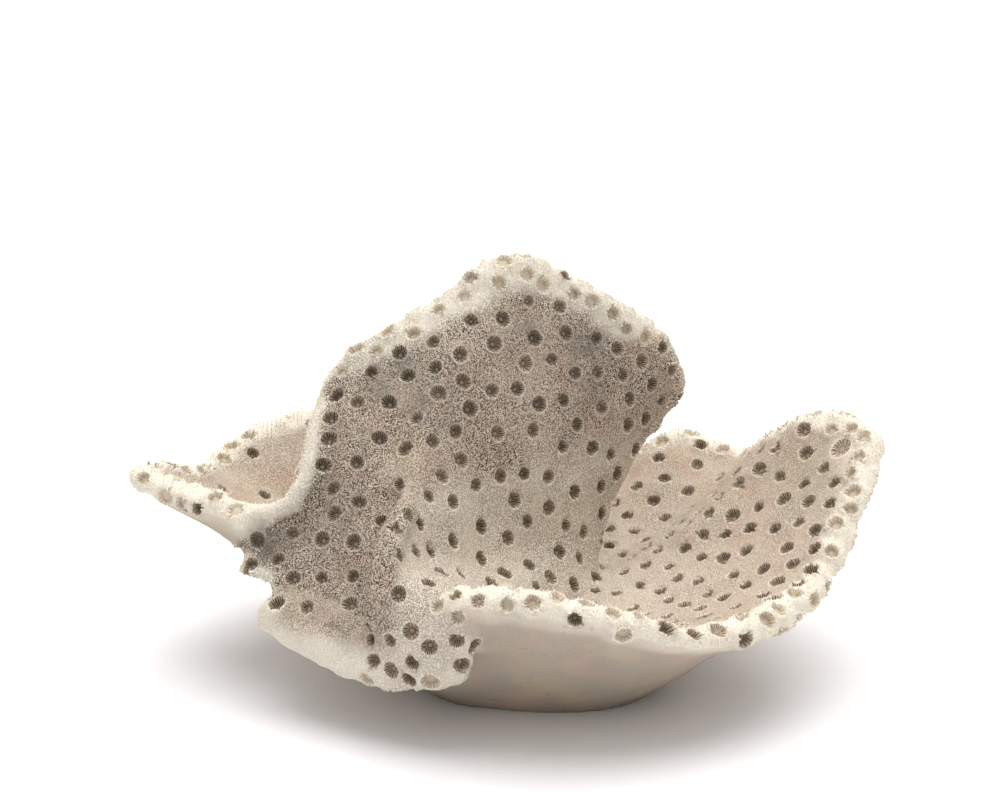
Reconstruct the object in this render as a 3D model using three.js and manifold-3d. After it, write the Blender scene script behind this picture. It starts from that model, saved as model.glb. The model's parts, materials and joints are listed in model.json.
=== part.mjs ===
// A dried cup coral: one stony skeleton that grew as a folded plate. Units are millimetres, +Z up.
// It rests on the flat cut under its foot. The origin is the middle of its footprint, on that cut.
// The skeleton is given as three fronds, parted at the two forks where one plate divides into two.
import * as THREE from "three";
import { mergeVertices } from "three/addons/utils/BufferGeometryUtils.js";
import Module from "manifold-3d";

const plateThickness = 6; // at a free margin
const rootThickness = 8.5; // where a frond leaves the rest
const footThickness = 40; // measured down from the cup's floor, before the foot is cut off flat
const footReach = 66; // how far from the floor's middle the thickening of the foot runs out
const marginBulge = 0.42; // how far a margin is rounded out, as a share of its thickness
const forkGap = 0.3; // left between two fronds where they part

// The cup's margin, counter-clockwise from the front left: [x, y, z].
const cupMargin = [
  [-14, -61, 45], [5, -67, 46], [27, -68, 42], [39, -65, 37], [50, -60, 34], [60, -54, 34],
  [71, -44, 35], [80, -33, 38], [87, -22, 45], [93, -11, 54], [98, -1, 64], [95, 8, 66],
  [89, 15, 66], [82, 24, 62], [76, 34, 56], [73, 43, 49], [67, 51, 44], [57, 57, 46],
  [46, 61, 46], [38, 64, 39], [18, 68, 46], [-6, 67, 54], [-30, 62, 54], [-59, 50, 57],
  [-70, 44, 54], [-82, 34, 50], [-85, 26, 48], [-89, 14, 52], [-100, 0, 57], [-94, -4, 56],
  [-87, -8, 54], [-79, -13, 53], [-70, -18, 51], [-61, -21, 50], [-54, -24, 38], [-48, -34, 33],
  [-38, -44, 31], [-26, -53, 35],
];
const cupFloor = [8, -6, 18]; // the lowest point inside the cup
const cupRise = 1.75; // 1 is a straight cone, more is flatter in the middle

// The fold that stands up from the cup, by its front face. Each rib runs from the lip that rolls
// outward in front, or from the cup's floor, up to the top margin. The ribs go from left to right.
const foldRibs = [
  [[-64, -37, 31], [-61, -33, 33], [-69, -29, 38], [-69, -22, 43], [-60, -15, 48], [-56, -8, 56]],
  [[-55, -45, 26], [-54, -39, 32], [-56, -32, 39], [-56, -26, 48], [-54, -8, 64], [-53, 2, 73]],
  [[-44, -52, 22], [-44, -46, 30], [-44, -37, 38], [-44, -29, 49], [-44, -14, 67], [-45, 9, 85]],
  [[-33, -58, 20], [-36, -53, 29], [-38, -43, 36], [-38, -34, 46], [-37, -13, 66], [-31, 11, 93]],
  [[-26, -61, 20], [-32, -58, 30], [-35, -48, 38], [-34, -39, 47], [-31, -17, 63], [-24, 13, 97]],
  [[-20, -64, 20], [-27, -63, 30], [-31, -59, 39], [-32, -51, 49], [-26, -27, 60], [-17, 14, 100]],
  [[-12, -66, 26], [-18, -66, 36], [-24, -60, 42], [-28, -48, 49], [-21, -22, 60], [-8, 16, 108]],
  [[-11, -67, 34], [-12, -66, 41], [-16, -56, 43], [-20, -38, 44], [-12, -14, 60], [5, 19, 109]],
  [[-4, -60, 41], [-6, -52, 37], [-7, -34, 33], [-8, -20, 38], [0, -4, 60], [20, 23, 101]],
  [[6, -46, 30], [5, -34, 26], [4, -18, 30], [4, -8, 35], [13, 4, 57], [34, 27, 92]],
  [[16, -30, 20], [14, -18, 20], [14, -6, 27], [16, 2, 34], [26, 14, 54], [46, 34, 80]],
  [[26, -12, 15], [25, -2, 18], [25, 8, 25], [27, 16, 33], [36, 26, 50], [52, 40, 67]],
];
const foldGrid = { across: 37, along: 21 };
const lipGrid = { across: 23, along: 6 }; // the part of the fold's grid that is the front lip

const wasm = await Module();
wasm.setup();

const toVector = (point) => new THREE.Vector3(...point);
const mix = THREE.MathUtils.lerp;

function curveThrough(points, closed = false) {
  return new THREE.CatmullRomCurve3(points, closed, "centripetal");
}

// A grid of points over a face that runs smoothly through its ribs: grid[across][along].
function loftFace(ribs, { across, along }) {
  const ribCurves = ribs.map((rib) => curveThrough(rib.map(toVector)));
  const rows = [];
  for (let j = 0; j <= along; j++) {
    const row = curveThrough(ribCurves.map((rib) => rib.getPoint(j / along)));
    rows.push(row.getPoints(across));
  }
  return rows[0].map((_, i) => rows.map((row) => row[i]));
}

// The cup's upper face: rays from its floor to its margin, grid[around][outward].
function cupFace(around, outward) {
  const margin = curveThrough(cupMargin.map(toVector), true);
  const floor = toVector(cupFloor);
  const grid = [];
  for (let i = 0; i < around; i++) {
    const end = margin.getPoint(1 - i / around);
    const ray = [];
    for (let j = 0; j <= outward; j++) {
      const t = j / outward;
      const height = mix(floor.z, end.z, t ** cupRise);
      ray.push(new THREE.Vector3(mix(floor.x, end.x, t), mix(floor.y, end.y, t), height));
    }
    grid.push(ray);
  }
  return grid;
}

// How much deeper than a plate the cup is under a point of its face.
function footDepth(point) {
  const distance = Math.hypot(point.x - cupFloor[0], point.y - cupFloor[1]);
  return (footThickness - plateThickness) * Math.max(0, 1 - distance / footReach) ** 1.1;
}

// The direction that a face looks in, at one of its points.
function faceNormal(grid, i, j, wraps) {
  const count = grid.length;
  const last = grid[0].length - 1;
  const column = (k) => grid[wraps ? (k + count) % count : THREE.MathUtils.clamp(k, 0, count - 1)];
  const acrossIt = column(i + 1)[j].clone().sub(column(i - 1)[j]);
  const alongIt = grid[i][Math.min(j + 1, last)].clone().sub(grid[i][Math.max(j - 1, 0)]);
  return acrossIt.cross(alongIt).normalize();
}

// A closed plate behind a face, with a rounded margin. Its thickness is one value at its root, where
// the grid's second index starts, and another at its margin. A face that wraps is a disc whose first
// points all meet in one. The swell moves every side outward.
function plateSolid(grid, { wraps = false, swell = 0, root = rootThickness, depth = () => 0 }) {
  const count = grid.length;
  const last = grid[0].length - 1;
  const up = new THREE.Vector3(0, 0, 1);
  const vertices = [];
  const triangles = [];
  const add = (point) => vertices.push(point) - 1;
  const addTriangle = (a, b, c) => {
    if (a !== b && b !== c && c !== a) triangles.push(a, b, c);
  };

  const front = [];
  const back = [];
  for (let i = 0; i < count; i++) {
    front.push([]);
    back.push([]);
    for (let j = 0; j <= last; j++) {
      if (wraps && j === 0 && i > 0) {
        front[i].push(front[0][0]);
        back[i].push(back[0][0]);
        continue;
      }
      const normal = wraps && j === 0 ? up : faceNormal(grid, i, j, wraps);
      const thickness = mix(root, plateThickness, j / last);
      const behind = grid[i][j].clone().addScaledVector(normal, -thickness - swell);
      front[i].push(add(grid[i][j].clone().addScaledVector(normal, swell)));
      back[i].push(add(behind.addScaledVector(up, -depth(grid[i][j]))));
    }
  }

  for (let i = 0; i < (wraps ? count : count - 1); i++) {
    const next = (i + 1) % count;
    for (let j = 0; j < last; j++) {
      addTriangle(front[i][j], front[next][j], front[next][j + 1]);
      addTriangle(front[i][j], front[next][j + 1], front[i][j + 1]);
      addTriangle(back[i][j], back[next][j + 1], back[next][j]);
      addTriangle(back[i][j], back[i][j + 1], back[next][j + 1]);
    }
  }

  // Each point of the margin, with the grid point just inside it.
  const margin = [];
  const right = count - 1;
  if (wraps) {
    for (let i = right; i >= 0; i--) margin.push([i, last, i, last - 1]);
  } else {
    for (let i = 0; i < right; i++) margin.push([i, 0, i, 1]);
    for (let j = 0; j < last; j++) margin.push([right, j, right - 1, j]);
    for (let i = right; i > 0; i--) margin.push([i, last, i, last - 1]);
    for (let j = last; j > 0; j--) margin.push([0, j, 1, j]);
  }
  const edge = margin.map(([i, j, innerI, innerJ]) => {
    const a = vertices[front[i][j]];
    const b = vertices[back[i][j]];
    const outward = grid[i][j].clone().sub(grid[innerI][innerJ]).normalize();
    const bulge = marginBulge * a.distanceTo(b) + swell;
    const middle = a.clone().add(b).multiplyScalar(0.5).addScaledVector(outward, bulge);
    return { front: front[i][j], middle: add(middle), back: back[i][j] };
  });
  edge.forEach((here, k) => {
    const next = edge[(k + 1) % edge.length];
    addTriangle(next.front, here.front, here.middle);
    addTriangle(next.front, here.middle, next.middle);
    addTriangle(next.middle, here.middle, here.back);
    addTriangle(next.middle, here.back, next.back);
  });

  return new wasm.Manifold(new wasm.Mesh({
    numProp: 3,
    vertProperties: new Float32Array(vertices.flatMap((v) => [v.x, v.y, v.z])),
    triVerts: new Uint32Array(triangles),
  }));
}

// A closed three.js geometry as a solid.
function solidFrom(geometry) {
  const bare = geometry.clone();
  bare.deleteAttribute("normal");
  bare.deleteAttribute("uv");
  const merged = mergeVertices(bare, 1e-3);
  return new wasm.Manifold(new wasm.Mesh({
    numProp: 3,
    vertProperties: merged.attributes.position.array,
    triVerts: new Uint32Array(merged.index.array),
  }));
}

// What stands above the flat cut.
function cutOffFlat(solid) {
  const size = 300;
  const below = new THREE.BoxGeometry(size, size, size);
  below.translate(0, 0, -size / 2);
  return solid.subtract(solidFrom(below));
}

// The largest of the pieces that a cut leaves, without the chips beside it.
function largestPiece(solid) {
  return solid.decompose().reduce((best, piece) => (piece.volume() > best.volume() ? piece : best));
}

const cupGrid = cupFace(72, 11);
const cupPlate = (swell) => cutOffFlat(
  plateSolid(cupGrid, { wraps: true, swell, root: plateThickness, depth: footDepth }));
const frondGrid = loftFace(foldRibs, foldGrid);
const lipFace = frondGrid.slice(0, lipGrid.across + 1).map((rib) => rib.slice(0, lipGrid.along + 1));
const tallFace = frondGrid.map((rib) => rib.slice(lipGrid.along));
const tallPlate = (swell) => plateSolid(tallFace, { swell });

const fronds = {
  cup: cupPlate(0),
  tall_frond: tallPlate(0).subtract(cupPlate(forkGap)),
  front_lobe: plateSolid(lipFace, {}).subtract(cupPlate(forkGap)).subtract(tallPlate(forkGap))
    .subtract(tallPlate(0)),
};

const stone = { color: 0xd8cdbd, roughness: 0.95, metalness: 0 };
const coral = new THREE.Group();
for (const [name, solid] of Object.entries(fronds)) {
  const { numProp, vertProperties, triVerts } = largestPiece(solid).getMesh();
  const positions = new Float32Array((vertProperties.length / numProp) * 3);
  for (let v = 0; v < positions.length / 3; v++) {
    positions.set(vertProperties.subarray(v * numProp, v * numProp + 3), v * 3);
  }
  const geometry = new THREE.BufferGeometry();
  geometry.setAttribute("position", new THREE.BufferAttribute(positions, 3));
  geometry.setIndex(new THREE.BufferAttribute(new Uint32Array(triVerts), 1));
  geometry.computeVertexNormals();
  const mesh = new THREE.Mesh(geometry, new THREE.MeshStandardMaterial(stone));
  mesh.name = name;
  coral.add(mesh);
}

// The footprint's middle comes to the origin.
const box = new THREE.Box3().setFromObject(coral);
const middle = box.getCenter(new THREE.Vector3());
for (const mesh of coral.children) mesh.geometry.translate(-middle.x, -middle.y, 0);

export default coral;
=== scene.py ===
import json
import math

import bmesh
import bpy
import numpy as np
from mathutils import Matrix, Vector, noise
from mathutils.bvhtree import BVHTree
from mathutils.kdtree import KDTree

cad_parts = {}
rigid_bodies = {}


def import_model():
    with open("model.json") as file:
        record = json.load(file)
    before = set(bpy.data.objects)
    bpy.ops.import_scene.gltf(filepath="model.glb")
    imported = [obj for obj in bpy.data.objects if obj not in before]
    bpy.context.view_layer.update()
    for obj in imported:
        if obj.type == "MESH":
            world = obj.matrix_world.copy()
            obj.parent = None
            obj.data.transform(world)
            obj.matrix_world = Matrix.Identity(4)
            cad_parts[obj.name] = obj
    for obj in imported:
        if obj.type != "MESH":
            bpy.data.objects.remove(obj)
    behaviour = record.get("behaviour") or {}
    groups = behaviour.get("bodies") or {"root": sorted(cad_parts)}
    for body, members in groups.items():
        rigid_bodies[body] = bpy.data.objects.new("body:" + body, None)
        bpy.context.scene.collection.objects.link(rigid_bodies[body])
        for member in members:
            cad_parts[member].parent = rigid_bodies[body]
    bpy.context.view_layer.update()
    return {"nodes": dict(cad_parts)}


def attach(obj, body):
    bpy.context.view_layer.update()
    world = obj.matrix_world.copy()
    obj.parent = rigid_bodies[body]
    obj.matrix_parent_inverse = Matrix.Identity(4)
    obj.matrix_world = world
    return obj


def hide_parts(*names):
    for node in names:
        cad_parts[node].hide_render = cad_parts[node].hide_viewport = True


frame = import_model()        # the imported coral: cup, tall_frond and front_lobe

mm = 0.001
nodeNames = ["cup", "tall_frond", "front_lobe"]
random = np.random.default_rng(41)


# Small helpers

def deselectAll():
    if bpy.context.object and bpy.context.object.mode != "OBJECT":
        bpy.ops.object.mode_set(mode="OBJECT")
    bpy.ops.object.select_all(action="DESELECT")


def makeActive(piece):
    deselectAll()
    piece.select_set(True)
    bpy.context.view_layer.objects.active = piece


def applyModifier(piece, kind, **settings):
    makeActive(piece)
    modifier = piece.modifiers.new(kind.title(), kind)
    for name, value in settings.items():
        setattr(modifier, name, value)
    bpy.ops.object.modifier_apply(modifier=modifier.name)


def smoothStep(low, high, value):
    share = np.clip((value - low) / (high - low), 0, 1)
    return share * share * (3 - 2 * share)


def readPoints(mesh, what="co"):
    values = np.zeros(len(mesh.vertices) * 3, np.float32)
    mesh.vertices.foreach_get(what, values)
    return values.reshape(-1, 3).astype(float)


def readEdges(mesh):
    pairs = np.zeros(len(mesh.edges) * 2, np.int32)
    mesh.edges.foreach_get("vertices", pairs)
    return pairs.reshape(-1, 2)


def writePoints(mesh, points):
    mesh.vertices.foreach_set("co", points.astype(np.float32).ravel())
    mesh.update()


def writeValues(mesh, name, values):
    layer = mesh.attributes.new(name, "FLOAT", "POINT")
    layer.data.foreach_set("value", np.asarray(values, np.float32))


def readValues(mesh, name):
    values = np.zeros(len(mesh.vertices), np.float32)
    mesh.attributes[name].data.foreach_get("value", values)
    return values.astype(float)


def spread(values, edges, rounds, share=0.5):
    # each round moves a value towards the mean of its neighbours
    flat = values.reshape(len(values), -1).copy()
    size = len(flat)
    neighbours = np.maximum(np.bincount(edges.ravel(), minlength=size), 1)
    for _ in range(rounds):
        for column in range(flat.shape[1]):
            ends = flat[:, column]
            total = np.bincount(edges[:, 0], ends[edges[:, 1]], size)
            total += np.bincount(edges[:, 1], ends[edges[:, 0]], size)
            flat[:, column] = ends + share * (total / neighbours - ends)
    return flat.reshape(values.shape)


def unit(vectors):
    return vectors / np.maximum(np.linalg.norm(vectors, axis=-1, keepdims=True), 1e-12)


def treeOf(places):
    tree = KDTree(len(places))
    for index, place in enumerate(places):
        tree.insert(place, index)
    tree.balance()
    return tree


# Camera: a long lens, a little above the coral

camera = {
    "elevation": 17, "distance": 634, "lens": 85,
    "aim": (-2.2, 0.3, 76),  # mm, on the coral
}

cameraData = bpy.data.cameras.new("camera")
cameraData.lens = camera["lens"]
cameraData.clip_start = 0.05
cameraData.clip_end = 20
cameraObject = bpy.data.objects.new("camera", cameraData)
bpy.context.scene.collection.objects.link(cameraObject)
tilt = math.radians(camera["elevation"])
towardsCamera = Vector((0, -math.cos(tilt), math.sin(tilt)))
cameraObject.location = Vector(camera["aim"]) * mm + towardsCamera * camera["distance"] * mm
cameraObject.rotation_mode = "QUATERNION"
cameraObject.rotation_quaternion = (-towardsCamera).to_track_quat("-Z", "Y")
bpy.context.scene.camera = cameraObject
print("camera placed")


# The skeleton's skin: the three fronds grown together into one stony surface

skin = {
    "fatten": 0.35,          # mm, closes the gaps at the forks
    "voxel": 1.22,           # mm between the points of the skin
    "evenRounds": 34,        # rounds that take the facets out and keep the size
    "evenShares": (0.5, -0.53),    # a round smooths by the first and swells back by the second
    "softRounds": 4,
    "kept": 0.76,            # share of the faces left once the bare underside is thinned
    "waves": ((26, 0.9), (9, 0.35), (3.5, 0.12)),  # mm across, mm high
    "marginWaves": (5.5, 0.85),
    "marginReach": (3, 8),   # mm from a crest, where those fade out
    "footBand": 0.6,         # mm, all below this belongs to the foot's cut
    # Thick places that swell out of the plates: mm along each, and its radius there. The paths are
    # fitted one by one, they aren't worked out from the frame.
    "swellings": (
        (((-88, -7, 52), 2.2), ((-78, -12, 50.5), 2.8), ((-69, -17, 48.5), 3.2), ((-61.5, -21, 49), 3.4),
         ((-55.5, -21.5, 52.5), 3.4), ((-51.8, -17.5, 57.5), 3.2), ((-50.4, -12, 63), 3.1),
         ((-49.8, -4.5, 69), 3.0), ((-48.5, 1.5, 75), 2.6)),
        (((-95, -2, 53.5), 2.2), ((-88, -6, 50), 3.2), ((-80.5, -10, 47.5), 4.0), ((-73, -14, 45), 4.8),
         ((-67, -17, 43), 5.2)),
        (((-7, 17, 105), 2.0), ((-5.5, 16.5, 108), 2.2)),
    ),
}


def swelling(places):
    curve = bpy.data.curves.new("swelling", "CURVE")
    curve.dimensions = "3D"
    curve.bevel_depth = mm
    curve.bevel_resolution = 5
    curve.use_fill_caps = True
    spline = curve.splines.new("POLY")
    spline.points.add(len(places) - 1)
    for point, (place, radius) in zip(spline.points, places):
        point.co = (*(Vector(place) * mm), 1)
        point.radius = radius
    piece = bpy.data.objects.new("swelling", curve)
    bpy.context.scene.collection.objects.link(piece)
    makeActive(piece)
    bpy.ops.object.convert(target="MESH")
    return bpy.context.object


def fusedFronds():
    deselectAll()
    for name in nodeNames:
        frame["nodes"][name].select_set(True)
    bpy.context.view_layer.objects.active = frame["nodes"]["cup"]
    bpy.ops.object.duplicate()
    copies = list(bpy.context.selected_objects)
    for copy in copies:
        for key in list(copy.keys()):
            del copy[key]
        copy.parent = None
        copy.data.materials.clear()
    bpy.ops.object.mode_set(mode="EDIT")
    bpy.ops.mesh.select_all(action="SELECT")
    bpy.ops.mesh.remove_doubles(threshold=1e-5)
    bpy.ops.object.mode_set(mode="OBJECT")
    bpy.ops.object.join()
    fused = bpy.context.object
    fused.name = "coral_skin"
    fused.data.name = fused.name
    applyModifier(fused, "DISPLACE", mid_level=0, strength=skin["fatten"] * mm)
    swellings = [swelling(places) for places in skin["swellings"]]
    makeActive(fused)
    for piece in swellings:
        piece.select_set(True)
    bpy.ops.object.join()
    applyModifier(fused, "REMESH", mode="VOXEL", voxel_size=skin["voxel"] * mm)
    return fused


def evenOut(points, edges):
    for _ in range(skin["evenRounds"]):
        for share in skin["evenShares"]:
            points = spread(points, edges, 1, share)
    return spread(points, edges, skin["softRounds"])


def waveHeight(points, across, seed):
    scale = 1 / (across * mm)
    shift = Vector((seed * 7.1, seed * 3.3, seed * 5.7))
    return np.array([noise.noise(Vector(point) * scale + shift) for point in points])


fused = fusedFronds()
skinMesh = fused.data
edges = readEdges(skinMesh)
footFlat = readPoints(skinMesh)[:, 2] < skin["footBand"] * mm
points = evenOut(readPoints(skinMesh), edges)
writePoints(skinMesh, points)
normals = readPoints(skinMesh, "normal")
print("skin fused:", len(points), "points")


# Where each point of the skin belongs, and what grows there

zones = {
    "crestLump": 0.46,       # mm that a plate's rounded edge stands out of its smoothed self
    "crestRounds": 16,       # rounds of that smoothing
    "crestFrom": 13,         # mm above the foot's cut
    "cupFocus": (8, -6, 100),            # mm: the cup's face looks to here
    "lobeFacing": (-0.25, -0.8, 0.55),
    "lobeMore": 0.25,                    # the lobe's polyps reach further round it
    "faceEdge": (-0.12, 0.12),           # how sharply a face ends
    "outerBand": (0.6, 2.0),             # mm past a crest that the polyps still reach
    "crowded": {"cup": (2.6, 5.2), "tall_frond": (3.5, 8.0), "front_lobe": (2.6, 5.2)},
    "pale": {"cup": (2.0, 7.0), "tall_frond": (0.8, 3.2), "front_lobe": (1.5, 6.0)},
    "paleTop": (4.0, 13.0),              # mm, on the tall frond's top margin
    # The small ridge isn't a crest. It lies right of the first and in front of the second, in m, and
    # like all bounds below that are in m, these are fitted and not worked out from the frame.
    "ridgeLeft": -0.044,
    "ridgeBack": -0.010,
}


def nearestNodes(points):
    trees = [BVHTree.FromObject(frame["nodes"][name], bpy.context.evaluated_depsgraph_get())
             for name in nodeNames]
    distances = np.array([[tree.find_nearest(Vector(point))[3] for tree in trees] for point in points])
    return distances.argmin(axis=1)


def byNode(table):
    return np.array([table[name] for name in nodeNames])[owner]


owner = nearestNodes(points)
lumpiness = np.einsum("ij,ij->i", normals, points - spread(points, edges, zones["crestRounds"])) / mm
onRidge = (owner == 1) & (points[:, 0] > zones["ridgeLeft"]) & (points[:, 1] < zones["ridgeBack"])
onCrest = (lumpiness > zones["crestLump"]) & (points[:, 2] > zones["crestFrom"] * mm) & ~onRidge
crestTree = treeOf(points[onCrest])
crestDistance = np.array([crestTree.find(Vector(point))[2] for point in points]) / mm
crestDistance = spread(crestDistance, edges, 2)

facing = np.einsum("ij,ij->i", normals, unit(np.array(zones["cupFocus"]) * mm - points))
facing = np.where(owner == 1, 1, facing)
facing = np.where(owner == 2, normals @ unit(np.array(zones["lobeFacing"])) + zones["lobeMore"], facing)
polypFace = smoothStep(*zones["faceEdge"], spread(facing, edges, 3))
polypFace = np.maximum(polypFace, 1 - smoothStep(*zones["outerBand"], crestDistance))
print("faces told apart, crest points:", int(onCrest.sum()))

# The bare underside needs fewer points than the faces that carry polyps.
plain = fused.vertex_groups.new(name="plain")
for level in range(5):
    chosen = np.flatnonzero(np.round((1 - polypFace) * 4) == level)
    plain.add([int(index) for index in chosen], level / 4, "REPLACE")
fullTree = treeOf(points)
applyModifier(fused, "DECIMATE", ratio=skin["kept"], vertex_group="plain", vertex_group_factor=1000)
fused.vertex_groups.clear()
points, normals = readPoints(skinMesh), readPoints(skinMesh, "normal")
carried = np.array([fullTree.find(Vector(point))[1] for point in points])
owner, crestDistance, polypFace, footFlat = (
    values[carried] for values in (owner, crestDistance, polypFace, footFlat))
print("underside thinned:", len(points), "points,", len(skinMesh.polygons), "faces")


# The relief of the plates: broad waves, knobbly margins, and the folds and hollows of this coral

folds = [
    # mm along each, how far it runs out to either side, and how high it stands; a hollow is below 0.
    # These paths are fitted too.
    {"path": ((83, 19, 61), (75, 16, 55), (67, 16, 48), (59, 12, 42), (51, 7, 36)),
     "width": 4.5, "height": 2.4},
    {"path": ((-26, -34, 56), (-29, -45, 52), (-30, -53, 47), (-31, -57, 41), (-32, -56, 34)),
     "width": 2.6, "height": 4.2},
    {"path": ((-31, -26, 58), (-34, -36, 51), (-36.5, -45, 44), (-37.5, -49, 36)),
     "width": 3.2, "height": -3.4},
    {"path": ((-45, 2, 72), (-45.5, -9, 64), (-46.5, -17, 57), (-50, -23, 51), (-58, -26, 45),
              (-63, -27, 42)), "width": 4.2, "height": -2.8},
    {"path": ((-78, -13, 53), (-69, -18, 51), (-61.5, -22, 51.5), (-56, -23, 54.5), (-53, -18, 59.5),
              (-52, -12, 65), (-51, -4, 70)), "width": 2.8, "height": 1.1},
]


def distanceToPath(points, path):
    nearest = np.full(len(points), 1.0)
    for start, end in zip(path[:-1], path[1:]):
        start, end = np.array(start) * mm, np.array(end) * mm
        share = np.clip((points - start) @ (end - start) / ((end - start) @ (end - start)), 0, 1)
        distance = np.linalg.norm(points - start - share[:, None] * (end - start), axis=1)
        nearest = np.minimum(nearest, distance)
    return nearest / mm


relief = np.zeros(len(points))
for count, (across, height) in enumerate(skin["waves"]):
    relief += waveHeight(points, across, count + 1) * height
across, height = skin["marginWaves"]
relief += waveHeight(points, across, 9) * height * (1 - smoothStep(*skin["marginReach"], crestDistance))
for fold in folds:
    nearFold = np.exp(-(distanceToPath(points, fold["path"]) / fold["width"]) ** 2)
    relief += fold["height"] * nearFold * polypFace
points += normals * (relief * mm)[:, None]
points[footFlat, 2] = 0
points[:, 2] = np.maximum(points[:, 2], 0)
writePoints(skinMesh, points)
normals = readPoints(skinMesh, "normal")
print("relief raised")


# Polyp cups: where they sit and how large each one is

calices = {
    # mm from the middle to the crest of its wall, and mm between neighbours at the least
    "radius": {"cup": (1.9, 2.4), "tall_frond": (1.95, 2.5), "front_lobe": (2.0, 2.5)},
    "apart": {"cup": 6.7, "tall_frond": 7.2, "front_lobe": 5.1},
    "marginRadius": (1.9, 2.5),
    "marginApart": 5.3,
    "backApart": 10.5,
    "rise": (0.15, 0.4),         # mm that the wall stands proud of a face
    "marginRise": (0.6, 1.2),
    "depth": (1.2, 1.9),         # mm
    "paleDepth": (0.5, 0.95),
    "reach": 1.7,                # how far its slope runs out, in radii
    "floorHeight": 12,           # mm, no cup sits lower than this
    "oval": (0.86, 1.0),
    "refine": 1.22,              # radii, the skin gets finer within this
    "holds": 0.7,                # a cup sits where the face is at least this sure
    "gridCell": 10,              # mm, of the grid that finds a cup's neighbours
    "roomy": (0, 4),             # these of the fitted cups are large and keep more room
    "room": 5.6,                 # mm
    "axisFrom": 2.4,             # mm, a cup stands square to the skin this far round it
    # Tones run from 0, dark, to 1, pale: on the faces, and on the margins the pale and brown ones.
    "tone": {"cup": (0.15, 0.5), "tall_frond": (0.05, 0.42), "front_lobe": (0.15, 0.5)},
    "paleTone": (0.78, 1.0),
    "brownTone": (0.2, 0.5),
    # How likely a margin's cup is a shallow pale one, from place to place.
    "paleChance": {"cup": 0.75, "tall_frond": 0.92, "front_lobe": 0.45},
    # The same on the cup's margin in front of, or right of, a bound in m: the bound, the chance.
    "cupFront": (-0.040, 0.9),
    "cupRight": (0.060, 0.6),
    "cupTip": (0.084, 1.0),
    # Sparse places: between these bounds, in m, the space grows by this share.
    "sparseBack": (0.018, 0.03, 0.22),
    "sparseLeft": (-0.045, -0.06, 0.55),
    "sparseLobe": (-0.034, -0.040, 0.9),
    "frondTop": (0.076, 0.086),        # m, the tall frond's margin is crowded above this
    "floorMiddle": (20, 5, 28),        # mm, the cups are smaller and closer round here
    "floorReach": (0.020, 0.048),      # m
    "floorCloser": 0.14,
    "floorSmaller": 0.2,
    "saddle": (-0.058, 0.013, 0.045),  # m: middle, half width and lowest point of the bare saddle
    "saddleMargin": 5,                 # mm
    "baldLobe": (-0.036, 0.031),       # m: no cups left of the first and below the second
}

# Cups whose places are fitted one by one and aren't worked out from the frame: each sits near this
# point (mm), with this radius (mm) and tone.
knownCups = [
    ((92, 4, 61), 3.3, 0.62), ((83, 9, 58), 2.3, 0.3), ((75, 0, 49), 2.6, 0.3), ((62, 4, 43), 2.4, 0.3),
    ((-19, -64, 21), 2.9, 0.8), ((-11, -66, 27), 2.3, 0.4), ((-13, -67, 34), 2.3, 0.5),
    ((-19, -65, 31), 2.3, 0.3), ((-13, -64, 44), 2.0, 0.6), ((-7, -67, 44), 2.0, 0.7),
    ((1, -69, 44), 2.1, 0.9), ((12, -69, 44), 2.1, 0.9), ((26, -70, 41), 2.1, 0.9),
    ((33, -68, 40), 2.0, 0.9), ((40, -66, 37), 2.4, 0.5), ((47, -64, 36), 2.1, 0.55),
    ((53, -60, 34), 2.4, 0.65), ((59, -54, 34), 2.3, 0.9), ((69, -42, 35), 2.7, 0.5),
]

# Rows of cups, along fitted paths (mm): so many mm between cups, and one radius (mm) and tone.
cupRows = [
    {"path": ((-45.5, 0, 77), (-47, -9, 68), (-48, -16, 62), (-46, -21, 57), (-45, -25, 52),
              (-48, -30, 45)), "apart": 7.2, "radius": 2.45, "tone": 0.1},
    {"path": ((-28, -34, 56), (-32.5, -42, 51), (-33.5, -51, 46), (-33, -57, 39)),
     "apart": 6.0, "radius": 2.15, "tone": 0.25},
]


def alongPath(path, apart):
    places = []
    left = 0
    for start, end in zip(path[:-1], path[1:]):
        start, end = Vector(start), Vector(end)
        while left <= (end - start).length:
            places.append(start + (end - start).normalized() * left)
            left += apart
        left -= (end - start).length
    return places


rowCups = [(place, row["radius"], row["tone"]) for row in cupRows
           for place in alongPath(row["path"], row["apart"])]
setCups = knownCups + rowCups


def sparseness(points):
    # how much further apart the cups are than usual: the walls behind and the far left are sparse
    factor = np.ones(len(points))
    for name, axis, node in (("sparseBack", 1, 0), ("sparseLeft", 0, 0), ("sparseLobe", 0, 2)):
        start, end, more = calices[name]
        factor += more * smoothStep(start, end, points[:, axis]) * (owner == node)
    return factor


turnedBack = (owner == 1) & (normals[:, 0] > 0.55) & (normals[:, 1] < 0.3)
crowded = np.array([zones["crowded"][name] for name in nodeNames])[owner]
crowding = 1 - smoothStep(crowded[:, 0], crowded[:, 1], crestDistance)
crowding = np.where(turnedBack, 0, crowding)
crowding = np.where(owner == 1, crowding * smoothStep(*calices["frondTop"], points[:, 2]), crowding)
fromMiddle = np.linalg.norm(points - np.array(calices["floorMiddle"]) * mm, axis=1)
innerFloor = 1 - smoothStep(*calices["floorReach"], fromMiddle)
innerFloor = innerFloor * (owner == 0)
apart = byNode(calices["apart"]) * sparseness(points)
apart = np.where((owner == 1) & (normals[:, 1] > 0.1), calices["backApart"], apart)
apart = apart * (1 - calices["floorCloser"] * innerFloor)
apart = apart + crowding * (calices["marginApart"] - apart)
middle, halfWidth, lowest = calices["saddle"]
onSaddle = (np.abs(points[:, 0] - middle) < halfWidth) & (points[:, 2] > lowest)
onSaddle = onSaddle & (crestDistance < calices["saddleMargin"])
baldRight, baldTop = calices["baldLobe"]
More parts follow.
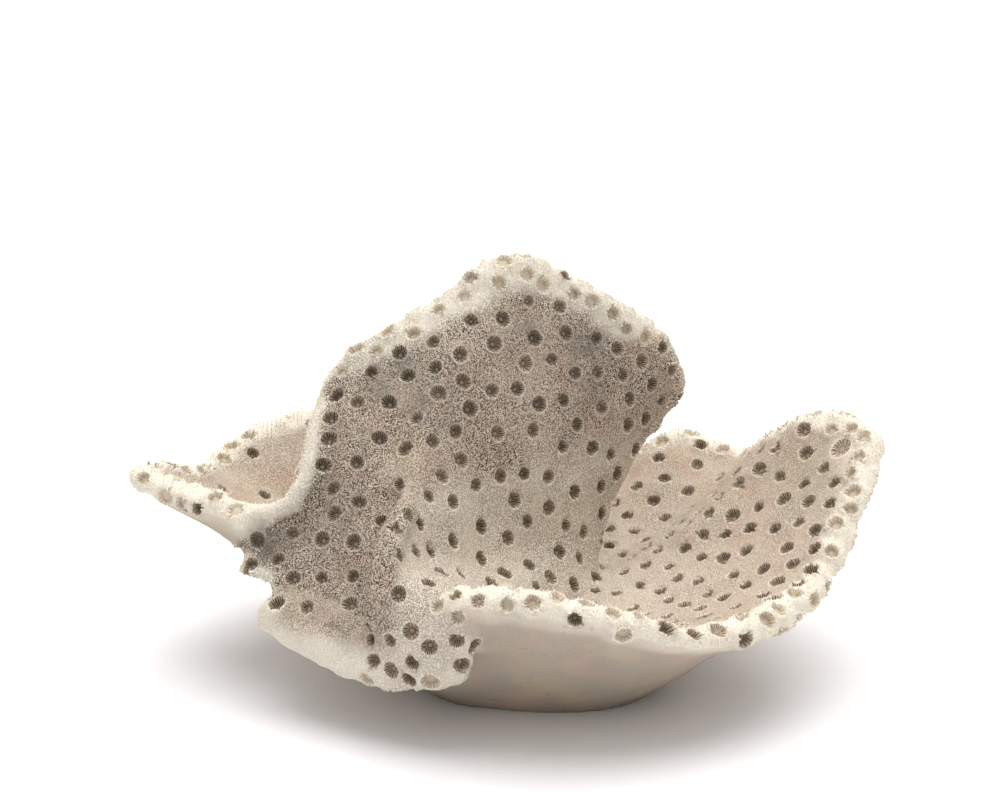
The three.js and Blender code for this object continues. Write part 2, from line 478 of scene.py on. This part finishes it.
bald = (owner == 2) & (points[:, 0] < baldRight) & (points[:, 2] < baldTop)


def placeCups():
    canHold = (polypFace > calices["holds"]) & (points[:, 2] > calices["floorHeight"] * mm)
    canHold = canHold & ~onSaddle & ~bald
    order = random.permutation(np.flatnonzero(canHold))
    order = np.concatenate([order[crowding[order] > 0.6], order[crowding[order] <= 0.6]])
    skinTree = treeOf(points)
    first = [skinTree.find(Vector(place) * mm)[1] for place, _, _ in setCups]
    order = np.concatenate([np.array(first), order])
    roomy = [first[number] for number in calices["roomy"]]
    cell = calices["gridCell"] * mm
    grid = {}
    chosen = []
    for rank, index in enumerate(order):
        point, normal = points[index], normals[index]
        key = tuple((point // cell).astype(int))
        taken = False
        for dx in (-1, 0, 1):
            for dy in (-1, 0, 1):
                for dz in (-1, 0, 1):
                    for other in grid.get((key[0] + dx, key[1] + dy, key[2] + dz), ()):
                        if rank < len(first):
                            continue
                        least = min(apart[index], apart[other]) * mm
                        if other in roomy:
                            least = max(least, calices["room"] * mm)
                        gap = np.linalg.norm(points[other] - point)
                        if gap < least and normals[other] @ normal > -0.2:
                            taken = True
        if not taken:
            grid.setdefault(key, []).append(index)
            chosen.append(index)
    return skinTree, chosen


paleChance = byNode(calices["paleChance"])
bound, chance = calices["cupFront"]
paleChance = np.where((owner == 0) & (points[:, 1] < bound), chance, paleChance)
for bound, chance in (calices["cupRight"], calices["cupTip"]):
    paleChance = np.where((owner == 0) & (points[:, 0] > bound), chance, paleChance)

skinTree, chosen = placeCups()
cups = []
for rank, index in enumerate(chosen):
    around = calices["axisFrom"] * mm
    near = [found[1] for found in skinTree.find_range(Vector(points[index]), around)]
    near = [other for other in near if normals[other] @ normals[index] > 0]
    axis = unit(normals[near].sum(axis=0))
    onMargin = crowding[index] > 0.5
    home = nodeNames[owner[index]]
    low, high = calices["marginRadius"] if onMargin else calices["radius"][home]
    radius = random.uniform(low, high) * (1 - calices["floorSmaller"] * innerFloor[index])
    tone = random.uniform(*calices["tone"][home])
    if onMargin:
        isPale = random.random() < paleChance[index]
        tone = random.uniform(*calices["paleTone" if isPale else "brownTone"])
    if rank < len(setCups):
        radius, tone = setCups[rank][1:]
    deep = calices["paleDepth"] if tone > 0.6 else calices["depth"]
    side = unit(np.cross(axis, random.normal(size=3)))
    cups.append({
        "place": points[near].mean(axis=0) if onMargin else points[index],
        "axis": axis, "side": side, "across": np.cross(axis, side), "radius": radius * mm,
        "rise": random.uniform(*calices["marginRise" if onMargin else "rise"]) * mm,
        "depth": random.uniform(*deep) * mm,
        "oval": random.uniform(*calices["oval"]), "tone": tone,
    })
print("polyp cups placed:", len(cups))


# Finer skin round each cup

def refineRoundCups():
    inside = np.zeros(len(points), bool)
    for cup in cups:
        for _, index, _ in skinTree.find_range(Vector(cup["place"]), cup["radius"] * calices["refine"]):
            if normals[index] @ cup["axis"] > 0.1:
                inside[index] = True
    work = bmesh.new()
    work.from_mesh(skinMesh)
    work.verts.ensure_lookup_table()
    for name, values in (("owner", owner), ("polypFace", polypFace), ("crestDistance", crestDistance),
                         ("innerFloor", innerFloor)):
        layer = work.verts.layers.float.new(name)
        for vertex in work.verts:
            vertex[layer] = values[vertex.index]
    picked = {edge for face in work.faces for edge in face.edges
              if all(inside[vertex.index] for vertex in edge.verts)}
    bmesh.ops.subdivide_edges(work, edges=list(picked), cuts=1, use_grid_fill=True)
    work.to_mesh(skinMesh)
    work.free()
    skinMesh.update()


refineRoundCups()
points, normals = readPoints(skinMesh), readPoints(skinMesh, "normal")
print("skin refined:", len(points), "points,", len(skinMesh.polygons), "faces")


# Each cup is sunk into the skin: a floor with a low boss, a steep wall and a raised crest

cupShape = {
    "boss": 0.36,         # share of the radius
    "bossHeight": 0.34,   # share of the depth
    "floor": 0.62,        # the wall stands between this share of the radius and the crest
    "crest": 1.0,
    "rings": (0.36, 0.64, 0.84, 1.0, 1.18),   # points gather on these rings
    "gather": 0.6,
    "gatherBetween": (0.15, 1.3),
    "slopeFrom": 1.05,    # radii, the outer slope starts here
    "outerFrom": 1.15,    # radii, past this a point stands out straight from the skin
    "level": 0.7,         # how level a crest is
    "levelTo": (0.9, 1.4),
}


def cupHeight(share, rise, depth):
    boss = 1 - smoothStep(0.0, cupShape["boss"], share)
    height = -depth + boss * cupShape["bossHeight"] * depth
    height += smoothStep(cupShape["floor"], cupShape["crest"], share) * (depth + rise)
    slope = 1 - smoothStep(cupShape["slopeFrom"], calices["reach"], share)
    return np.where(share > cupShape["crest"], rise * slope, height)


def sinkCups():
    tree = treeOf(points)
    share = np.full(len(points), 9.0)
    local = np.zeros((len(points), 2))
    tone = np.zeros(len(points))
    offset = np.zeros((len(points), 3))
    crestLift = np.zeros(len(points))
    rings = np.array(cupShape["rings"])
    innermost, outermost = cupShape["gatherBetween"]
    for cup in cups:
        reach = cup["radius"] * calices["reach"]
        found = np.array([hit[1] for hit in tree.find_range(Vector(cup["place"]), reach * 1.25)])
        if not len(found):
            continue
        found = found[normals[found] @ cup["axis"] > 0]
        delta = points[found] - cup["place"]
        u = delta @ cup["side"] / cup["radius"]
        v = delta @ cup["across"] / (cup["radius"] * cup["oval"])
        away = np.hypot(u, v)
        closer = away < share[found]
        snapped = rings[np.abs(away[:, None] - rings).argmin(axis=1)]
        gathers = (away < outermost) & (away > innermost)
        pull = np.where(gathers, cupShape["gather"], 0) * (snapped - away)
        height = cupHeight(away + pull, cup["rise"], cup["depth"])
        flatten = -(delta @ cup["axis"]) * (1 - smoothStep(*cupShape["levelTo"], away))
        stretch = pull / np.maximum(away, 1e-6)
        shift = (cup["side"] * (u * stretch * cup["radius"])[:, None]
                 + cup["across"] * (v * stretch * cup["radius"] * cup["oval"])[:, None]
                 + cup["axis"] * (height + flatten * cupShape["level"])[:, None])
        own = found[closer]
        offset[own] = shift[closer]
        share[own] = away[closer]
        local[own] = np.stack([u * (1 + stretch), v * (1 + stretch)], axis=1)[closer]
        tone[own] = cup["tone"]
        lift = cup["rise"] * (1 - smoothStep(cupShape["slopeFrom"], calices["reach"], away))
        crestLift[found] = np.maximum(crestLift[found], np.where(away > 1, lift, 0))
    outer = share > cupShape["outerFrom"]
    offset[outer] = normals[outer] * crestLift[outer][:, None]
    return points + offset, share, local, tone


points, cupShare, local, tone = sinkCups()
points[:, 2] = np.maximum(points[:, 2], 0)
writePoints(skinMesh, points)
normals = readPoints(skinMesh, "normal")
skinMesh.polygons.foreach_set("use_smooth", np.ones(len(skinMesh.polygons), bool))
print("cups sunk")


# What the stone shows from place to place, with painted shade and painted light in some places

stoneLookAndPaintedLight = {
    "contrast": {"cup": 0.6, "tall_frond": 1.15, "front_lobe": 0.95},    # of the grain
    # Where a look changes, in m, from none to all of it.
    "topFrom": (0.078, 0.088),
    "lobeLow": (0.024, 0.030),
    "lobeRight": (-0.036, -0.026),
    "frondRight": (0.03, 0.085),    # right of the first and below the second it is less pale
    "tipFrom": (0.086, 0.098),
    "frontFrom": (-0.030, -0.026),
    "frontBelow": (0.052, 0.064),
    "leftTo": (-0.044, -0.024),
    # How pale or how much darker each makes the stone. The paler low front of the tall frond is partly
    # painted light, and its darker left side is painted shade.
    "lobeLowPale": 0.95, "lobeRightPale": 0.6, "lobeMargin": 0.8, "ridgePale": 0.9,
    "frondRightPale": 0.4, "frontPaleAndLit": 0.5, "floorPale": 0.3, "leftShadeContrast": 0.35,
    "ridgeWidth": 1.3,              # mm
    # Grey-green stains in fitted places, partly dirt and partly painted shade in the recess under the left
    # wing's rim and on the tall frond's left side: mm, radius in mm, strength.
    "stainsAndShade": (
        ((5, 12, 95), 5, 0.7), ((22, 18, 86), 6, 0.7), ((24, 16, 76), 6, 0.5), ((-30, 1, 81), 9, 0.7),
        ((-19, -7, 78), 9, 0.7), ((-63, -24, 43), 7, 0.8), ((-44, -26, 50), 16, 0.42),
        ((-43, -10, 66), 12, 0.25), ((-38, -50, 30), 8, 0.5), ((-50, -42, 31), 7, 0.3),
        ((40, -66, 37), 3, 0.9), ((84, 2, 56), 8, 0.3), ((-9, 3, 62), 8, 0.3),
    ),
}

owner = readValues(skinMesh, "owner").round().astype(int)
polypFace, crestDistance = readValues(skinMesh, "polypFace"), readValues(skinMesh, "crestDistance")
paleFrom = np.array([zones["pale"][name] for name in nodeNames])[owner]
pale = 1 - smoothStep(paleFrom[:, 0], paleFrom[:, 1], crestDistance)
topPale = (1 - smoothStep(*zones["paleTop"], crestDistance)) * smoothStep(*stoneLookAndPaintedLight["topFrom"], points[:, 2])
pale = np.maximum(pale, topPale * (owner == 1))
lowLobe = 1 - smoothStep(*stoneLookAndPaintedLight["lobeLow"], points[:, 2])
rightLobe = smoothStep(*stoneLookAndPaintedLight["lobeRight"], points[:, 0])
lobePale = stoneLookAndPaintedLight["lobeLowPale"] * lowLobe * (1 - rightLobe) + stoneLookAndPaintedLight["lobeRightPale"] * rightLobe
pale = np.where(owner == 2, np.maximum(pale * stoneLookAndPaintedLight["lobeMargin"], lobePale), pale)
ridgeLine = np.exp(-(distanceToPath(points, folds[1]["path"]) / stoneLookAndPaintedLight["ridgeWidth"]) ** 2)
pale = np.maximum(pale, stoneLookAndPaintedLight["ridgePale"] * ridgeLine * (owner == 1))
rightFrom, rightBelow = stoneLookAndPaintedLight["frondRight"]
onRight = (owner == 1) & (points[:, 0] > rightFrom) & (points[:, 2] < rightBelow)
pale = np.where(onRight, pale * stoneLookAndPaintedLight["frondRightPale"], pale)
pale = np.maximum(pale, smoothStep(*stoneLookAndPaintedLight["tipFrom"], points[:, 0]) * (owner == 0))
# The low front of the tall frond is made paler: partly its pinkish pale stone, partly painted light against
# the shade there.
inFront = smoothStep(*stoneLookAndPaintedLight["frontFrom"], points[:, 0])
inFront = inFront * (1 - smoothStep(*stoneLookAndPaintedLight["frontBelow"], points[:, 2]))
pale = np.maximum(pale, stoneLookAndPaintedLight["frontPaleAndLit"] * inFront * (owner == 1))
pale = np.maximum(pale, stoneLookAndPaintedLight["floorPale"] * readValues(skinMesh, "innerFloor"))
pale = pale * (0.45 + 0.55 * polypFace)
# Painted shade on the tall frond's left side: the painted shade in its grain's gaps grows stronger there.
shadedLeftSide = (1 - smoothStep(*stoneLookAndPaintedLight["leftTo"], points[:, 0])) * (owner == 1)
contrast = byNode(stoneLookAndPaintedLight["contrast"]) * (1 + stoneLookAndPaintedLight["leftShadeContrast"] * shadedLeftSide)
contrast = contrast * (0.25 + 0.75 * polypFace)
# Stains: partly dirt, partly painted shade in a recess and on the tall frond's left side.
stainAndShade = np.zeros(len(points))
for place, radius, strength in stoneLookAndPaintedLight["stainsAndShade"]:
    distance = np.linalg.norm(points - np.array(place) * mm, axis=1) / (radius * mm)
    stainAndShade = np.maximum(stainAndShade, strength * np.exp(-distance ** 2))
for name, values in (("pale", pale), ("contrast", contrast), ("stainAndShade", stainAndShade), ("cupTone", tone),
                     ("cupShare", np.minimum(cupShare, 3)), ("cupU", local[:, 0]), ("cupV", local[:, 1])):
    writeValues(skinMesh, name, values)
print("staining set")


# Septa: thin blades that stand out from a cup's wall towards its middle

septa = {
    "count": 20,
    "thickness": 0.13,    # share of the radius, at the wall
    "inner": 0.40,        # share of the radius, for the long ones
    "proud": 0.08,        # mm over the crest
    "slack": 0.7,         # mm that the wall may be from where a blade starts
    "shorter": 0.2,       # share of the radius, every other blade ends this much sooner
    "foot": 0.74,         # share of the radius, at the cup's floor
    "tipDepth": (0.55, 0.72),    # share of the depth, for a long one and a short one
}


def pieceOf(name, corners, faces, values):
    mesh = bpy.data.meshes.new(name)
    mesh.from_pydata([tuple(corner) for corner in corners], [], faces)
    writeValues(mesh, "cupTone", values)
    piece = bpy.data.objects.new(name, mesh)
    bpy.context.scene.collection.objects.link(piece)
    makeActive(piece)
    bpy.ops.object.mode_set(mode="EDIT")
    bpy.ops.mesh.select_all(action="SELECT")
    bpy.ops.mesh.normals_make_consistent(inside=False)
    bpy.ops.object.mode_set(mode="OBJECT")
    return piece


def tetrahedron(start):
    return [(start, start + 1, start + 3), (start, start + 2, start + 1),
            (start, start + 3, start + 2), (start + 1, start + 2, start + 3)]


def septaBlades():
    tree = treeOf(points)
    corners, faces, tones = [], [], []
    for cup in cups:
        for blade in range(septa["count"]):
            angle = 2 * math.pi * blade / septa["count"]
            long = blade % 2 == 0
            outward = cup["side"] * math.cos(angle) + cup["across"] * math.sin(angle) * cup["oval"]
            sideways = np.cross(cup["axis"], unit(outward))
            half = septa["thickness"] * cup["radius"] / 2
            crest = cup["place"] + outward * cup["radius"] + cup["axis"] * cup["rise"]
            wall, _, gap = tree.find(Vector(crest))
            if gap > septa["slack"] * mm:
                continue
            inner = septa["inner"] if long else septa["inner"] + septa["shorter"]
            top = np.array(wall) + cup["axis"] * septa["proud"] * mm * (1 if long else -1)
            bottom = cup["place"] + outward * cup["radius"] * septa["foot"] - cup["axis"] * cup["depth"]
            tip = (cup["place"] + outward * cup["radius"] * inner
                   - cup["axis"] * cup["depth"] * septa["tipDepth"][0 if long else 1])
            faces += tetrahedron(len(corners))
            corners += [top + sideways * half, top - sideways * half, bottom, tip]
            tones += [cup["tone"]] * 4
    return pieceOf("coral_septa", corners, faces, tones)


septaPiece = septaBlades()
print("piece", septaPiece.name, len(septaPiece.data.polygons), "triangles")


# Spines: the blunt teeth that make the margins and the crests of their cups look frayed

spines = {"count": 9000, "width": 0.36, "height": (0.4, 0.9), "lean": 0.45, "within": 4.5}   # mm


def marginSpines():
    fit = (crestDistance < spines["within"]) & (cupShare > 0.97) & (polypFace > 0.6) & (owner != 2)
    places = random.choice(np.flatnonzero(fit), min(spines["count"], int(fit.sum())), replace=False)
    corners, faces, tones = [], [], []
    for index in places:
        up = unit(normals[index] + random.normal(size=3) * spines["lean"] * 0.5)
        side = unit(np.cross(up, random.normal(size=3)))
        across = np.cross(up, side)
        root = points[index] - up * 0.2 * mm
        faces += tetrahedron(len(corners))
        for turn in range(3):
            angle = turn * 2 * math.pi / 3
            reach = spines["width"] * mm * random.uniform(0.7, 1.1)
            corners.append(root + (side * math.cos(angle) + across * math.sin(angle)) * reach)
        corners.append(root + up * random.uniform(*spines["height"]) * mm)
        tones += [random.uniform(0.6, 1.0)] * 4
    return pieceOf("margin_spines", corners, faces, tones)


spinePiece = marginSpines()
print("piece", spinePiece.name, len(spinePiece.data.polygons), "triangles")


def removeLooseBits():
    # All that isn't joined to the topmost point goes: a tiny closed bit left where the fronds fuse.
    makeActive(fused)
    bpy.ops.object.mode_set(mode="EDIT")
    bpy.ops.mesh.select_mode(type="VERT")
    bpy.ops.mesh.select_all(action="DESELECT")
    bpy.ops.object.mode_set(mode="OBJECT")
    skinMesh.vertices[int(points[:, 2].argmax())].select = True
    bpy.ops.object.mode_set(mode="EDIT")
    bpy.ops.mesh.select_linked()
    bpy.ops.mesh.select_all(action="INVERT")
    bpy.ops.mesh.delete(type="VERT")
    bpy.ops.object.mode_set(mode="OBJECT")


removeLooseBits()
print("piece", fused.name, sum(len(face.vertices) - 2 for face in skinMesh.polygons), "triangles")


# Materials

def linear(code):
    channels = [int(code[i:i + 2], 16) / 255 for i in (1, 3, 5)]
    return [c / 12.92 if c <= 0.04045 else ((c + 0.055) / 1.055) ** 2.4 for c in channels] + [1.0]


def addNode(tree, kind, inputs=None, **settings):
    node = tree.nodes.new(kind)
    for name, value in settings.items():
        setattr(node, name, value)
    for key, value in (inputs or {}).items():
        if isinstance(value, bpy.types.NodeSocket):
            tree.links.new(value, node.inputs[key])
        else:
            node.inputs[key].default_value = value
    return node


coralStone = {
    "colours": {
        # The underside's colour is chalky stone darkened by painted shade.
        "underside": "#b5aa9b", "face": "#dac9b5", "warm": "#d8c19a", "rose": "#d4ae9c",
        "crest": "#fff6e5",      # margins and the crests of their cups
        # Painted shade: the dark in the gaps between the spines, in the underside's pores and between a
        # cup's ribs.
        "gap": "#4d3f34",        # between the spines
        # Dirt, and painted shade where the stains darken a recess and the tall frond's left side.
        "dirtAndShade": "#757067",
        # The darkest pit colour is partly dirt and partly painted shade.
        "pitDark": "#34281f", "pitBrown": "#745d48", "pitPale": "#e3d6c0", "septum": "#dccbb5",
    },
    # Noises: mm across, detail, roughness, distortion.
    "noises": {
        "broad": (17, 3, 0.5, 0), "patch": (11, 3, 0.5, 0), "blotch": (9, 4, 0.6, 0.3),
        "strength": (13, 2, 0.5, 0), "spineNoise": (0.29, 0, 0.5, 0.5), "fine": (0.22, 1, 0.5, 0),
        "poreNoise": (1.7, 1, 0.5, 0), "smear": (30, 3, 0.6, 0),
    },
    # Steps: a result's name, then a range (value, from low, from high, to low, to high) or a sum.
    "steps": (
        ("angle", "ARCTAN2", "cupV", "cupU"),
        ("turned", "MULTIPLY", "angle", 20),
        ("waved", "COSINE", "turned", 0),
        ("blades", "range", "waved", -0.3, 0.6, 0, 1),
        ("between", "SUBTRACT", 1, "blades"),
        # Painted shade in the gaps between the spines, as strong as the grain's contrast.
        ("gaps", "range", "spineNoise", 0.42, 0.56, 1, 0),
        ("gapStrength", "range", "strength", 0.35, 0.65, 0.62, 0.95),
        ("gapContrast", "MULTIPLY", "contrast", "gapStrength"),
        ("paleGaps", "range", "pale", 0, 1, 1, 0.26),
        ("gapAmount", "MULTIPLY", "gapContrast", "paleGaps"),
        ("gapShare", "MULTIPLY", "gaps", "gapAmount"),
        # Painted shade between the ribs just outside a cup's crest.
        ("nearCup", "range", "cupShare", 1.05, 1.42, 1, 0),
        ("pastCrest", "range", "cupShare", 1.0, 1.12, 0, 0.35),
        ("ribs", "MULTIPLY", "between", "nearCup"),
        ("ribStrength", "MULTIPLY", "ribs", "pastCrest"),
        ("ribShare", "MULTIPLY", "ribStrength", "gapContrast"),
        ("crestIn", "range", "cupShare", 0.92, 1.02, 0, 1),
        ("crestOut", "range", "cupShare", 1.04, 1.3, 1, 0),
        ("crestBand", "MULTIPLY", "crestIn", "crestOut"),
        ("crestAmount", "range", "pale", 0, 1, 0.47, 0.9),
        ("crestShare", "MULTIPLY", "crestBand", "crestAmount"),
        ("paleShare", "MULTIPLY", "pale", 0.95),
        ("warmShare", "range", "broad", 0.5, 0.72, 0, 0.32),
        ("roseShare", "range", "patch", 0.46, 0.7, 0, 0.38),
        # Stains, partly dirt and partly painted shade, and a broad darker smear.
        ("stainAndShadeNoise", "range", "blotch", 0.38, 0.62, 0.2, 1),
        ("stainAndShadeSpot", "MULTIPLY", "stainAndShade", "stainAndShadeNoise"),
        ("smearShare", "range", "smear", 0.52, 0.72, 0, 0.1),
        ("darker", "SUBTRACT", 1, "pale"),
        ("smearDarker", "MULTIPLY", "smearShare", "darker"),
        ("stainAndShadeShare", "MAXIMUM", "stainAndShadeSpot", "smearDarker"),
        ("bare", "SUBTRACT", 1, "polypFace"),
        # Painted shade in the pores of the bare underside.
        ("pores", "range", "poreNoise", 0.66, 0.78, 0, 0.2),
        ("poreShare", "MULTIPLY", "pores", "bare"),
        # The pit colour fills each cup's inside: partly dirt, partly painted shade.
        ("inPit", "range", "cupShare", 0.88, 1.0, 0.97, 0),
        ("toneLow", "range", "cupTone", 0, 0.5, 0, 1),
        ("toneHigh", "range", "cupTone", 0.5, 1, 0, 1),
        ("onWall", "range", "cupShare", 0.3, 0.5, 0, 0.9),
        ("onSepta", "MULTIPLY", "blades", "onWall"),
        ("boss", "range", "cupShare", 0.1, 0.34, 0.5, 0),
        ("septaShare", "MAXIMUM", "onSepta", "boss"),
        ("spineTops", "SUBTRACT", 1, "gaps"),
        ("spineHeight", "MULTIPLY", "spineTops", "contrast"),
        ("fineHeight", "MULTIPLY", "fine", 0.35),
        ("height", "ADD", "spineHeight", "fineHeight"),
    ),
    "roughness": 0.93,
    "bumpDepth": 0.00035,   # m
}


def makeCoralStone():
    # Bleached aragonite, porous and spiny: dead matt, pale spines with painted shade in the gaps between
    # them, smooth and chalky where no polyps grew. The underside and the pores carry painted shade, the pits
    # dirt and painted shade.
    material = bpy.data.materials.new("bleachedCoralStone")
    material.use_nodes = True
    tree = material.node_tree
    shader = tree.nodes["Principled BSDF"]
    shader.inputs["Roughness"].default_value = coralStone["roughness"]
    shader.inputs["Specular IOR Level"].default_value = 0.25
    place = addNode(tree, "ShaderNodeTexCoord").outputs["Object"]
    inMm = addNode(tree, "ShaderNodeMapping", {"Vector": place, "Scale": (1000, 1000, 1000)}).outputs[0]

    kept = {}
    for name in ("polypFace", "pale", "contrast", "stainAndShade", "cupShare", "cupU", "cupV", "cupTone"):
        kept[name] = addNode(tree, "ShaderNodeAttribute", attribute_name=name).outputs["Fac"]
    for name, (across, detail, roughness, distortion) in coralStone["noises"].items():
        kept[name] = addNode(tree, "ShaderNodeTexNoise", {
            "Vector": inMm, "Scale": 1 / across, "Detail": detail, "Roughness": roughness,
            "Distortion": distortion}).outputs[0]
    for name, how, *values in coralStone["steps"]:
        inputs = {slot: kept.get(value, value) for slot, value in enumerate(values)}
        if how == "range":
            node = addNode(tree, "ShaderNodeMapRange", inputs, interpolation_type="SMOOTHSTEP")
        else:
            node = addNode(tree, "ShaderNodeMath", inputs, operation=how)
        kept[name] = node.outputs[0]

    colours = {name: linear(code) for name, code in coralStone["colours"].items()}
    pit = colours["pitDark"]
    for share, colour in (("toneLow", "pitBrown"), ("toneHigh", "pitPale"), ("septaShare", "septum")):
        mixed = addNode(tree, "ShaderNodeMix", {0: kept[share], 6: pit, 7: colours[colour]},
                        data_type="RGBA")
        pit = mixed.outputs[2]
    surface = colours["underside"]
    for share, colour in (("polypFace", "face"), ("warmShare", "warm"), ("roseShare", "rose"),
                          ("paleShare", "crest"), ("gapShare", "gap"), ("poreShare", "gap"),
                          ("crestShare", "crest"), ("ribShare", "gap"), ("inPit", pit),
                          ("stainAndShadeShare", "dirtAndShade")):
        over = colours[colour] if isinstance(colour, str) else colour
        mixed = addNode(tree, "ShaderNodeMix", {0: kept[share], 6: surface, 7: over}, data_type="RGBA")
        surface = mixed.outputs[2]
    tree.links.new(surface, shader.inputs["Base Color"])
    bump = addNode(tree, "ShaderNodeBump", {
        "Strength": 0.8, "Distance": coralStone["bumpDepth"], "Height": kept["height"]})
    tree.links.new(bump.outputs[0], shader.inputs["Normal"])
    return material


def makeBladeStone(name, dark, light, across):
    # The same stone in thin blades and teeth: even, matt and paler than the gaps round them.
    material = bpy.data.materials.new(name)
    material.use_nodes = True
    tree = material.node_tree
    shader = tree.nodes["Principled BSDF"]
    shader.inputs["Roughness"].default_value = 0.9
    shader.inputs["Specular IOR Level"].default_value = 0.25
    place = addNode(tree, "ShaderNodeTexCoord").outputs["Object"]
    mottle = addNode(tree, "ShaderNodeTexNoise", {
        "Vector": place, "Scale": 1 / (across * mm), "Detail": 3.0})
    tone = addNode(tree, "ShaderNodeAttribute", attribute_name="cupTone")
    both = addNode(tree, "ShaderNodeMath", {0: mottle.outputs[0], 1: 0.3, 2: tone.outputs["Fac"]},
                   operation="MULTIPLY_ADD")
    share = addNode(tree, "ShaderNodeMapRange", {0: both.outputs[0], 1: 0.15, 2: 1.15})
    colour = addNode(tree, "ShaderNodeMix", {0: share.outputs[0], 6: linear(dark), 7: linear(light)},
                     data_type="RGBA")
    tree.links.new(colour.outputs[2], shader.inputs["Base Color"])
    return material


skinMesh.materials.append(makeCoralStone())
septaPiece.data.materials.append(makeBladeStone("septaStone", "#a89079", "#f4ead8", 6))
spinePiece.data.materials.append(makeBladeStone("spineStone", "#cdbb9f", "#fbf2df", 3))
for piece in (fused, septaPiece, spinePiece):
    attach(piece, "root")
    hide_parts(*nodeNames)
print("materials set")


# Floor and light: a white sweep under a wide soft light, with a world that is bright overhead

studio = {
    "floor": "#f4f3f4", "floorRoughness": 0.9, "floorSize": 12,    # m
    "zenith": 1.15, "horizon": 0.14,
    "sun": 2.4, "sunWidth": 62, "sunTilt": (-10, 3),
}

deselectAll()
bpy.ops.mesh.primitive_plane_add(size=studio["floorSize"])
floor = bpy.context.object
floor.name = "floor"
floorPaint = bpy.data.materials.new("floorPaint")
floorPaint.use_nodes = True
floorShader = floorPaint.node_tree.nodes["Principled BSDF"]
floorShader.inputs["Base Color"].default_value = linear(studio["floor"])
floorShader.inputs["Roughness"].default_value = studio["floorRoughness"]
floor.data.materials.append(floorPaint)

world = bpy.data.worlds.new("studio")
world.use_nodes = True
sky = world.node_tree
sky.nodes["Background"].inputs["Color"].default_value = (1, 1, 1, 1)
direction = addNode(sky, "ShaderNodeTexCoord").outputs["Object"]
upward = addNode(sky, "ShaderNodeSeparateXYZ", {0: direction}).outputs[2]
strength = addNode(sky, "ShaderNodeMapRange", {
    0: upward, 1: 0.0, 2: 1.0, 3: studio["horizon"], 4: studio["zenith"]})
sky.links.new(strength.outputs[0], sky.nodes["Background"].inputs["Strength"])
bpy.context.scene.world = world
sun = bpy.data.lights.new("softLight", "SUN")
sun.energy = studio["sun"]
sun.angle = math.radians(studio["sunWidth"])
sunObject = bpy.data.objects.new("softLight", sun)
sunObject.rotation_euler = [math.radians(angle) for angle in studio["sunTilt"]] + [0]
bpy.context.scene.collection.objects.link(sunObject)
bpy.context.scene.view_settings.view_transform = "Standard"
print("floor and light set")
